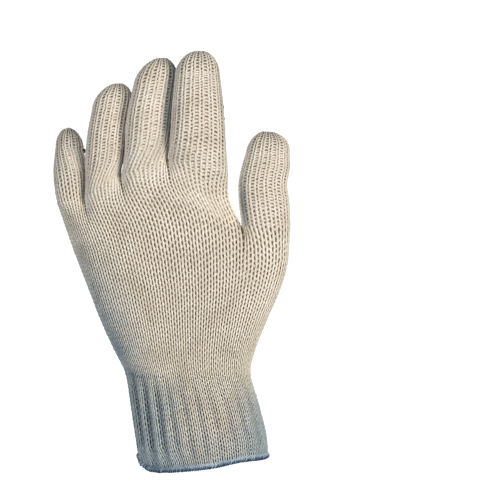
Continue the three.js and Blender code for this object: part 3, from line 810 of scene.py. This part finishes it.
def cuff_round(place, course):
    """The sleeve, whose hem end hangs lower on the back, with each third wale drawn in towards the axis,
    most on the little finger's side. The last rounds before the hem are dragged a little to the thumb's
    side on the back."""
    wale, side = around(place, WALES)
    slant = smooth(wale / SLANT_WALES) * (1 - smooth((wale - SLANT_TO_WALE) / SLANT_FADING_WALES))
    slant = HEM_SLANT * slant * (1 - smooth(course / SLANT_COURSES))
    wale = wale + np.where(side < 0, slant, 0)
    point = hand_point(wale, side, course)
    fade = (1 - smooth(course / WRIST_COURSE)) ** 2
    drop = read(HEM_LINE, "drop", wale)[..., 0]
    lift = HEM_LIFT_AT_PALM * np.sin(math.pi * wale / WALES)
    point[..., 2] += fade * np.where(side < 0, -drop, lift)
    left, right = side_edges(SLEEVE, np.minimum(course, WRIST_COURSE))
    inwards = ((left + right) / 2 - point) * (SIDEWAYS_PULL, 1, 0)
    wave = np.cos(2 * math.pi * (wale - RIB_WALES / 2) / RIB_WALES)
    grown = RIB_AT_EDGE + (1 - RIB_AT_EDGE) * smooth(course / RIB_GROWING_COURSES)
    strength = (1 - smooth((course - WRIST_COURSE + RIB_START) / RIB_START)) * grown
    slack = np.where(side < 0, RIB_SLACK, RIB_SLACK_AT_PALM) * smooth((wale - SLACK_FROM_WALE) / SLACK_WALES)
    furrow = RIB_DEPTH * (1 - slack) * strength * (0.5 + 0.5 * wave)
    return point + unit(inwards) * furrow[..., None]


CUFF_LOOP = {"yarn": 0.158, "shoulder": 0.11, "bow": 0.0, "height": 0.82, "swell": 0.34, "stray": 1.8}
# Painted shade: blue in the ribs' furrows, and grey towards the cuff's sides and below the wrist
FURROW_SHADE_BLUE = (0.10, 0.18, 0.26)
FURROW_SHADE_SHOWS, FURROW_SHADE_SHARES = (0.85, 1.6), (0.0, 0.75)
CUFF_SHADE_GREY = (0.39, 0.48, 0.51)
CUFF_MIDDLE = 0.003
GREY_PLACES, GREY_SHARES = (0.010, 0.030), (0.14, 1.7)
WRIST_HEIGHTS = (0.056, 0.036)
LITTLE_SIDE = (-0.020, -0.040)
BLUE_PLACES, BLUE_SHARES = (0.01, -0.03), (0.42, 1.0)
EDGE_BLUE = (0.36, 0.46, 0.54)
EDGE_HEIGHTS, EDGE_SHARES = (-0.01, 0.018), (0.6, 0.0)
EDGE_RAGGED = -0.02
SHADE_PATCH_SCALE = 260
PATCHES_TO_FURROW = 0.9


def painted_cuff_shade(add, coords, colour):
    """Painted shade: the cuff's yarn turns greyer downwards from the wrist and out from its middle, and a
    painted blue shade lies in the ribs' furrows, going by the cosine of the wale as the ribs do, most on the
    little finger's side. A paler blue fades upwards from the hem. Fine noise breaks them all up."""
    across = part_of(add, coords.outputs["Object"], "X")
    height = part_of(add, coords.outputs["Object"], "Z")
    patches = noise(add, coords.outputs["Object"], SHADE_PATCH_SCALE)
    below = mapped(add, height, WRIST_HEIGHTS, FADE_IN)
    from_wrist = maths(add, "MAXIMUM", below, mapped(add, across, LITTLE_SIDE, FADE_IN))

    aside = maths(add, "ABSOLUTE", maths(add, "SUBTRACT", across, CUFF_MIDDLE))
    grey_share = maths(add, "MULTIPLY", mapped(add, aside, GREY_PLACES, GREY_SHARES), patches)
    grey_share = maths(add, "MULTIPLY", from_wrist, grey_share, held=True)
    greyed = mixed(add, grey_share, colour, (*CUFF_SHADE_GREY, 1))

    wale = maths(add, "ADD", part_of(add, coords.outputs["UV"], "X"), 0.5 - RIB_WALES / 2)
    wave = maths(add, "COSINE", maths(add, "MULTIPLY", wale, 2 * math.pi / RIB_WALES))
    furrow_shade = maths(add, "MULTIPLY_ADD", patches, PATCHES_TO_FURROW, wave)
    fade = maths(add, "MULTIPLY", from_wrist, mapped(add, across, BLUE_PLACES, BLUE_SHARES))
    furrow_shade = maths(add, "MULTIPLY", mapped(add, furrow_shade, FURROW_SHADE_SHOWS, FURROW_SHADE_SHARES), fade)
    ribbed = mixed(add, furrow_shade, greyed, (*FURROW_SHADE_BLUE, 1))

    ragged = maths(add, "MULTIPLY_ADD", patches, EDGE_RAGGED, height)
    return mixed(add, mapped(add, ragged, EDGE_HEIGHTS, EDGE_SHARES), ribbed, (*EDGE_BLUE, 1))


cuff_yarn = yarn_material("cuff yarn", *CREAM, shade_between=(0.33, 0.31, 0.27), tinge=painted_cuff_shade)
# Painted shade: near-black behind the cuff's loops, for the shade seen through its holes
cuff_shade_backing = fibre_material("painted shade behind the cuff's loops", (0.06, 0.056, 0.048), (0.20, 0.185, 0.155))
knit(
    "ribbed_cuff_loops",
    cuff_round,
    WALES,
    rounds_between(0, WRIST_COURSE),
    31,
    "ribbed_cuff",
    material=cuff_yarn,
    loop=CUFF_LOOP,
)
FIBRE_INTO_HEM, FIBRE_INTO_HAND = 0.6, 0.2
cuff_fibre_courses = np.linspace(-FIBRE_INTO_HEM, WRIST_COURSE + FIBRE_INTO_HAND, num=21)
shaded_backing_wall(
    "ribbed_cuff_shaded_backing",
    cuff_round,
    WALES,
    cuff_fibre_courses,
    "ribbed_cuff",
    material=cuff_shade_backing,
)

# Cuff hem: the raw edge of the cuff is overlocked. A pale blue-grey thread, with a painted dark blue shade
# underneath, wraps round the rolled edge in close slanting turns, which keeps the last round from running.
HEM_THICKNESS = 3.4
HEM_HEIGHT = 3.6
HEM_THREAD_RADIUS = 0.42
HEM_TURNS = 150
HEM_SLOPE_STEP = 0.4
KNIT_WALL = 2.2
SEAM_GAP = 0.3


def hem_line(place):
    """The middle of the hem's roll, half a wall in from the cuff's edge and below it, and the way out."""
    point = cuff_round(place, np.zeros_like(place))
    ahead = cuff_round(place + HEM_SLOPE_STEP, np.zeros_like(place))
    behind = cuff_round(place - HEM_SLOPE_STEP, np.zeros_like(place))
    run = unit((ahead - behind) * (1, 1, 0))
    out = np.stack([run[..., 1], -run[..., 0], 0 * place], axis=-1)
    centre = point - out * KNIT_WALL / 2
    centre[..., 2] -= HEM_HEIGHT / 2 + SEAM_GAP
    return centre, out


def hem_roll(place, turn, swell):
    """An upright oval round the hem's middle line: out by the cosine of the turn and up by its sine."""
    centre, out = hem_line(place)
    wide, tall = HEM_THICKNESS / 2 + swell, HEM_HEIGHT / 2 + swell
    up = np.array([0.0, 0.0, 1.0])
    spoke = out * (wide * np.cos(turn))[..., None] + up * (tall * np.sin(turn))[..., None]
    return centre + spoke, unit(spoke)


HEM_BLUE = ((0.56, 0.68, 0.78), (0.46, 0.58, 0.69), (0.34, 0.46, 0.58))
# Painted shade: dark blue on the hem's underside and on its little-finger side
UNDERSIDE_SHADE_NAVY = (0.025, 0.075, 0.16)
HEM_SHADE = (0.55, 0.60, 0.66)
HEM_PLIES = 5.0
NAVY_TURNS = (0.75, 1.5)
NAVY_PLACES, NAVY_SHARES = (-0.005, -0.03), (0.0, 0.85)
NAVY_SCALE = 420
NAVY_RAGGED = 1.6
WRAP_POINTS = 14


def painted_hem_shade(add, coords, colour):
    """Painted dark blue shade on the underside of the roll, by the sine of a wrap's turn, and all round it
    on the little finger's side. Noise makes its edge ragged."""
    stitch = part_of(add, coords.outputs["UV"], "X")
    upward = maths(add, "SINE", maths(add, "MULTIPLY", stitch, 2 * math.pi * LOOP_POINTS / WRAP_POINTS))
    patches = noise(add, coords.outputs["Object"], NAVY_SCALE)
    ragged = maths(add, "MULTIPLY_ADD", patches, NAVY_RAGGED, upward)
    under = mapped(add, ragged, NAVY_TURNS, FADE_OUT)
    aside = mapped(add, part_of(add, coords.outputs["Object"], "X"), NAVY_PLACES, NAVY_SHARES)
    return mixed(add, maths(add, "MAXIMUM", under, aside), colour, (*UNDERSIDE_SHADE_NAVY, 1))


hem_core = yarn_material("hem roll", *HEM_BLUE, shade_between=HEM_SHADE, plies=HEM_PLIES)
hem_thread = yarn_material(
    "overlock thread", *HEM_BLUE, shade_between=HEM_SHADE, plies=HEM_PLIES, tinge=painted_hem_shade
)
ROLL_STEPS, ROLL_SIDES = 288, 14
roll_place, roll_turn = np.meshgrid(
    np.linspace(0, 2 * WALES, ROLL_STEPS, endpoint=False),
    -np.linspace(0, 2 * math.pi, ROLL_SIDES, endpoint=False),
    indexing="ij",
)
roll_points = hem_roll(roll_place, roll_turn, -HEM_THREAD_RADIUS)[0]
roll_faces, roll_uv = closed_strip(1, ROLL_STEPS, ROLL_SIDES)
roll_points, roll_faces = roll_points.reshape(-1, 3), roll_faces[:, ::-1]
piece("hem_roll", roll_points, roll_faces, hem_core, "cuff_hem", roll_uv)

WRAP_SLANT = 0.16
WRAP_SINK = 0.75  # how far a wrap sinks into the roll, in thread radii
WRAP_BULGE_STRAY, WRAP_PLACE_STRAY = 0.045, 0.06
wrap = np.arange(HEM_TURNS * WRAP_POINTS) / WRAP_POINTS
whole_turns = np.arange(HEM_TURNS + 1)
hem_rng = np.random.default_rng(41)
wrap_bulge = np.interp(wrap, whole_turns, hem_rng.normal(0, WRAP_BULGE_STRAY, HEM_TURNS + 1))
wrap_shift = np.interp(wrap, whole_turns, hem_rng.normal(0, WRAP_PLACE_STRAY, HEM_TURNS + 1))
wrap_place = wrap / HEM_TURNS * 2 * WALES + WRAP_SLANT * np.sin(2 * math.pi * wrap) + wrap_shift
wrap_swell = wrap_bulge - HEM_THREAD_RADIUS * WRAP_SINK
wrap_path, wrap_out = hem_roll(wrap_place, 2 * math.pi * wrap, wrap_swell)
wrap_points = tube_round(wrap_path[None], wrap_out[None], HEM_THREAD_RADIUS, YARN_SIDES).reshape(-1, 3)
wrap_faces, wrap_uv = closed_strip(1, len(wrap), YARN_SIDES)
piece("hem_thread_wraps", wrap_points, wrap_faces, hem_thread, "cuff_hem", wrap_uv)

# Grip dots: soft black PVC is pressed through a screen onto the palm side while the glove lies flat on its
# form, and cures into small glossy domes in rows that are set off by half a step.
DOT_RADIUS = 1.68
DOT_HEIGHT = 0.85
DOT_FOOT = 0.75
DOT_STEP = 5.6
DOT_ROW = 3.6
PRINT_COURSE = 29.5
PVC_TONES = ((0.002, 0.002, 0.0022), (0.006, 0.006, 0.0065))
PVC_GRAIN_SCALE = 1100
pvc, pvc_shader, pvc_add, pvc_join = material_nodes("black PVC")
pvc_grain = noise(pvc_add, pvc_add("ShaderNodeTexCoord").outputs["Object"], PVC_GRAIN_SCALE, roughness=0.6)
pvc_tone = ramp(pvc_add, pvc_grain, (0.3, PVC_TONES[0]), (0.7, PVC_TONES[1]))
pvc_relief = {"strength": 0.25, "distance": 0.0002}
dress(pvc_shader, pvc_add, pvc_join, pvc_tone, pvc_grain, roughness=0.24, specular=0.32, **pvc_relief)

DOME_SPOKES = 10
DOME_PROFILE = table("out up", (1.04, -1), (1.0, 0.1), (0.84, 0.62), (0.5, 0.93), (0.16, 1.0))
DOT_LUMPS, DOT_SIZES = 0.07, 0.06  # how much a dot's outline and size vary


def dome_mesh(centres, outs, rng):
    """Small domes: rings of ten points whose radius and height follow the profile, closed by a flat foot
    and a flat crown."""
    count = len(centres)
    side = unit(np.cross(outs, np.zeros_like(outs) + (0.0, 0.0, 1.0)))
    up = np.cross(side, outs)
    turn = 2 * math.pi * np.arange(DOME_SPOKES) / DOME_SPOKES
    lump = 1 + DOT_LUMPS * rng.normal(size=(count, 1, DOME_SPOKES))
    lump = (lump + np.roll(lump, 1, axis=2)) / 2
    size = 1 + DOT_SIZES * rng.normal(size=(count, 1, 1))
    radius = DOT_RADIUS * size * lump * DOME_PROFILE["out"][None, :, None]
    lift = np.where(DOME_PROFILE["up"] < 0, -DOT_FOOT, DOT_HEIGHT * DOME_PROFILE["up"])
    flat = side[:, None, None] * np.cos(turn)[:, None] + up[:, None, None] * np.sin(turn)[:, None]
    raised = outs[:, None, None] * lift[None, :, None, None]
    points = centres[:, None, None] + flat * radius[..., None] + raised
    rings = len(lift)
    first = np.arange(count)[:, None, None] * rings * DOME_SPOKES
    walls = first + skin_between(rings, DOME_SPOKES)[:, [0, 3, 2, 1]]
    last = DOME_SPOKES - 1
    quads = np.array([(k, last - k, last - k - 1, k + 1) for k in range(DOME_SPOKES // 2 - 1)])
    crown = first + (rings - 1) * DOME_SPOKES + quads
    foot = first + quads[:, ::-1]
    return points.reshape(-1, 3), np.concatenate([faces.reshape(-1, 4) for faces in (walls, crown, foot)])


LEAST_FACING = 0.22
DOT_REACH = 0.7  # how far the knit may be from a dot's place on the screen
DOT_SINK = 0.12  # how deep a dot is pressed into the knit


def printed_dots(name, surface, places, courses, node, seed, least_facing=LEAST_FACING):
    """Dots on a staggered screen that is square to the view of the palm. Each goes to the nearest of many
    points of the knit, seen from the palm, and is left out where the knit has none close to it or turns
    away."""
    place, course = (grid.ravel() for grid in np.meshgrid(places, courses, indexing="ij"))
    point, out, _ = on_surface(surface, place, course)
    tree = KDTree(len(point))
    for number, spot in enumerate(point):
        tree.insert((spot[0], 0, spot[2]), number)
    tree.balance()
    low, high = point.min(axis=0), point.max(axis=0)
    chosen = []
    for row in range(int(math.floor(low[2] / DOT_ROW)), int(math.ceil(high[2] / DOT_ROW)) + 1):
        start = (row % 2) * DOT_STEP / 2
        first = math.floor((low[0] - start) / DOT_STEP)
        for step in range(first, math.ceil((high[0] - start) / DOT_STEP) + 1):
            _, number, away = tree.find((start + step * DOT_STEP, 0, row * DOT_ROW))
            if away < DOT_REACH and out[number][1] > least_facing:
                chosen.append(number)
    centres = point[chosen] - DOT_SINK * out[chosen]
    points, faces = dome_mesh(centres, out[chosen], np.random.default_rng(seed))
    return piece(name, points, faces, pvc, node)


PALM_MARGINS = (2.5, 1.2)
UPPER_MARGIN = 0.8
FINGER_MARGINS = (0.2, 0.9)
FINGER_PRINT_FOOT, FINGER_PRINT_SHORT = 0.1, 2.5
OWN_LEAST_FACING = {"little": -0.1, "thumb": 0.5}
places = np.linspace(WALES + PALM_MARGINS[0], 2 * WALES - PALM_MARGINS[1], num=200)
courses = np.linspace(PRINT_COURSE, THUMB_COURSE, num=120)
printed_dots("lower_palm_dot_domes", hand_round, places, courses, "lower_palm_dots", seed=51)
places = np.linspace(FOUR_FINGER_WALES + UPPER_MARGIN, 2 * FOUR_FINGER_WALES - UPPER_MARGIN, num=200)
courses = np.linspace(THUMB_COURSE, FINGER_COURSE, num=60)
printed_dots("upper_palm_dot_domes", four_finger_round, places, courses, "upper_palm_dots", seed=52)
for number, name in enumerate(FINGER_NAMES):
    surface, wales, loops = finger_round(number)
    places = np.linspace(wales + FINGER_MARGINS[0], 2 * wales - FINGER_MARGINS[1], num=80)
    courses = np.linspace(FINGER_PRINT_FOOT, loops - FINGER_PRINT_SHORT, num=160)
    least_facing = OWN_LEAST_FACING.get(name, LEAST_FACING)
    printed_dots(f"{name}_dot_domes", surface, places, courses, f"{name}_dots", 60 + number, least_facing)

# The room: a plain white shell all round, a warm soft light on the thumb's side, a weaker one on the little
# finger's side, one on the palm side, and a dim blue sky.
ROOM_RADIUS = 3.0
POLE_RADIUS = 0.001


def room_shell(rings, spokes):
    """A sphere: rings from its lowest point to its highest."""
    turn = np.linspace(0, math.pi, rings)
    radius = np.maximum(ROOM_RADIUS * np.sin(turn), POLE_RADIUS)
    height = -ROOM_RADIUS * np.cos(turn)
    angle = 2 * math.pi * np.arange(spokes) / spokes
    across, away = radius[:, None] * np.cos(angle), radius[:, None] * np.sin(angle)
    return np.stack([across, away, height[:, None] + 0 * angle], axis=-1)


shell_points = room_shell(rings=40, spokes=64)
shell_faces = skin_between(*shell_points.shape[:2])[:, ::-1]
room_mesh = bpy.data.meshes.new("room")
room_mesh.from_pydata(shell_points.reshape(-1, 3).tolist(), [], shell_faces.tolist())
room_mesh.shade_smooth()
room = bpy.data.objects.new("room", room_mesh)
bpy.context.scene.collection.objects.link(room)
white, white_shader, *_ = material_nodes("white room")
white_shader.inputs["Base Color"].default_value = (1, 1, 1, 1)
white_shader.inputs["Emission Color"].default_value = (1, 1, 1, 1)
white_shader.inputs["Emission Strength"].default_value = 1.0
room_mesh.materials.append(white)
room.visible_diffuse = False
room.visible_glossy = False
room.visible_transmission = False
room.visible_shadow = False

sky = bpy.data.worlds.new("sky")
bpy.context.scene.world = sky
sky.use_nodes = True
sky_light = sky.node_tree.nodes["Background"]
sky_light.inputs["Color"].default_value = (0.42, 0.70, 1.0, 1)
sky_light.inputs["Strength"].default_value = 0.15

GLOVE_MIDDLE = (-0.01, 0.0, 0.12)


def soft_light(name, place, size, watts, colour, aim=GLOVE_MIDDLE):
    """A square area light that faces its aim."""
    lamp = bpy.data.lights.new(name, "AREA")
    lamp.size = size
    lamp.energy = watts
    lamp.color = colour
    light = bpy.data.objects.new(name, lamp)
    light.location = place
    away = np.array(place) - np.array(aim)
    tilt = math.atan2(math.hypot(away[0], away[1]), away[2])
    light.rotation_euler = (tilt, 0, math.atan2(away[0], -away[1]))
    light.visible_camera = False
    bpy.context.scene.collection.objects.link(light)


soft_light("right key", (0.78, -0.74, 0.26), 0.4, 10.2, (1.0, 0.93, 0.83), aim=(-0.01, 0, 0.13))
soft_light("left key", (-0.34, -0.97, 0.36), 0.5, 6.2, (1.0, 0.97, 0.94))
soft_light("palm side", (-0.5, 1.2, 0.5), 0.6, 24, (1.0, 0.95, 0.88))

camera = bpy.data.objects.new("camera", bpy.data.cameras.new("camera"))
camera.data.sensor_width = 36
camera.data.lens = 100
camera.data.clip_start = 0.01
camera.location = (0.0267, -0.805, 0.1253)
camera.rotation_euler = (math.pi / 2, 0, 0)
bpy.context.scene.collection.objects.link(camera)
bpy.context.scene.camera = camera
bpy.context.scene.view_settings.view_transform = "Standard"
